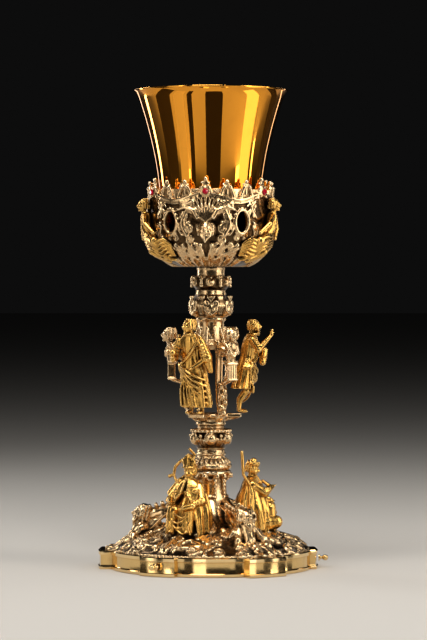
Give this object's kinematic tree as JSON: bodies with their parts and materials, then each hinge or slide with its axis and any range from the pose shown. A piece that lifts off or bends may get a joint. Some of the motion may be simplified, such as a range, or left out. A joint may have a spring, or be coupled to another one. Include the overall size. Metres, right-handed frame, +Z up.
{
  "type": "baroque chalice",
  "caption": "Silver-gilt chalice: flared polished cup in a pierced calyx, figured openwork nodus, domed foot with scrolls and seated figures.",
  "frame": {"origin": "on the stem's axis, at the level of the foot's flat underside", "axes": "+Z up along the stem's axis, -Y towards the front, +X to the right seen from the front"},
  "size_m": [0.1451, 0.1342, 0.3006],
  "materials": {
    "polished_gilt": "polished",
    "gilt": "satin",
    "silver": "satin",
    "ruby": "polished"
  },
  "bodies": {
    "root": {"cup": "polished_gilt", "calyx": "silver", "calyx_figure_1": "gilt", "calyx_figure_2": "gilt", "calyx_figure_3": "gilt", "ruby_1": "ruby", "ruby_2": "ruby", "ruby_3": "ruby", "ruby_4": "ruby", "ruby_5": "ruby", "ruby_6": "ruby", "collar_ring": "silver", "baluster": "silver", "nodus": "silver", "saint_1": "gilt", "saint_2": "gilt", "saint_3": "gilt", "lower_knop": "silver", "stem_collar": "silver", "foot": "silver", "seated_1": "gilt", "seated_2": "gilt", "seated_3": "gilt", "stud_1": "polished_gilt", "stud_2": "polished_gilt", "stud_3": "polished_gilt"}
  },
  "joints": []
}
